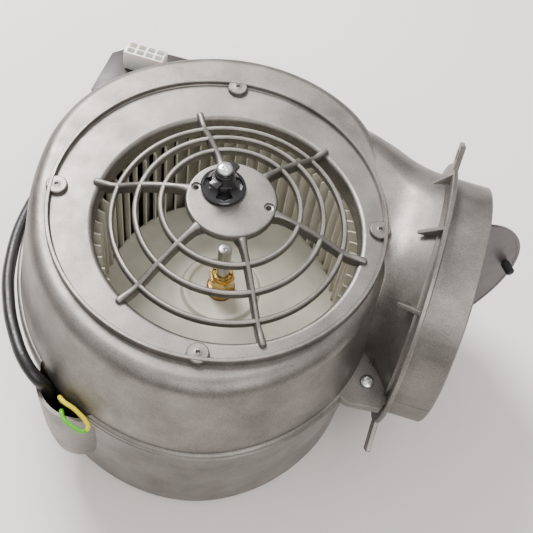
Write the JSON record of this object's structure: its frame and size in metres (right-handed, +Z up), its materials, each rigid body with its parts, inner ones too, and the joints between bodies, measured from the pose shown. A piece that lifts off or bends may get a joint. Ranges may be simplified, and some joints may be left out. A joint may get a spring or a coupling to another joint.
{
  "type": "centrifugal blower",
  "caption": "Die-cast double-inlet centrifugal fan with a domed finger guard, round outlet collar and a split non-return flap, driven by an internal motor.",
  "frame": {"origin": "on the impeller axis, in the plane the casing stands on, at the middle of the motor support's underside", "axes": "+Z up along the impeller axis towards the guarded inlet, +X along the outlet collar in the direction of the air flow"},
  "size_m": [0.309, 0.2552, 0.1902],
  "materials": {
    "cast_aluminium": "die-cast, bead-blasted, satin",
    "impeller_plastic": "moulded cream plastic",
    "brass": "turned and milled",
    "steel": "ground",
    "zinc_screw": "bright zinc plated",
    "spigot_plastic": "glossy black",
    "flap_plastic": "dark brown-grey, satin",
    "bracket_plastic": "near-black, satin",
    "rubber": "matt black",
    "lead_sleeve": "black insulating sleeve",
    "earth_sheath": "yellow with a green stripe",
    "connector_nylon": "translucent white nylon",
    "lamination": "stacked lamination edges",
    "copper": "enamelled copper wire"
  },
  "bodies": {
    "casing": {"upper_casing": "cast_aluminium", "lower_casing": "cast_aluminium", "inlet_grille": "cast_aluminium", "casing_screw_front": "zinc_screw", "casing_screw_side": "zinc_screw", "casing_screw_rear": "zinc_screw", "filter_spigot": "spigot_plastic", "filter_spigot_screw": "zinc_screw", "stator_core": "lamination", "winding_upper": "copper", "winding_lower": "copper", "end_shield_upper": "cast_aluminium", "end_shield_lower": "cast_aluminium", "bearing_upper": "steel", "bearing_lower": "steel", "motor_support": "cast_aluminium", "flap_pin": "steel", "motor_lead": "lead_sleeve", "earth_wire": "earth_sheath", "connector_bracket": "bracket_plastic", "bracket_screw": "zinc_screw", "connector_housing": "connector_nylon", "support_screw_1": "zinc_screw", "support_screw_2": "zinc_screw", "support_screw_3": "zinc_screw", "rubber_mount_1": "rubber", "rubber_mount_2": "rubber", "rubber_mount_3": "rubber"},
    "rotor": {"impeller": "impeller_plastic", "impeller_collet": "brass", "clamp_nut": "brass", "motor_shaft": "steel", "rotor_core": "lamination"},
    "far_flap": {"flap_far": "flap_plastic", "flap_buffer": "rubber"},
    "near_flap": {"flap_near": "flap_plastic"}
  },
  "joints": [
    {"name": "impeller_spin", "type": "hinge", "parent": "casing", "child": "rotor", "pos_m": [0, 0, 0.08], "axis": [0, 0, 1], "continuous": true},
    {"name": "far_flap_hinge", "type": "hinge", "parent": "casing", "child": "far_flap", "pos_m": [0.1175, 0.029, 0.09], "axis": [0, 0, 1], "range_deg": [-27, 53]},
    {"name": "near_flap_hinge", "type": "hinge", "parent": "casing", "child": "near_flap", "pos_m": [0.1175, 0.029, 0.09], "axis": [0, 0, 1], "range_deg": [0, 80]}
  ]
}
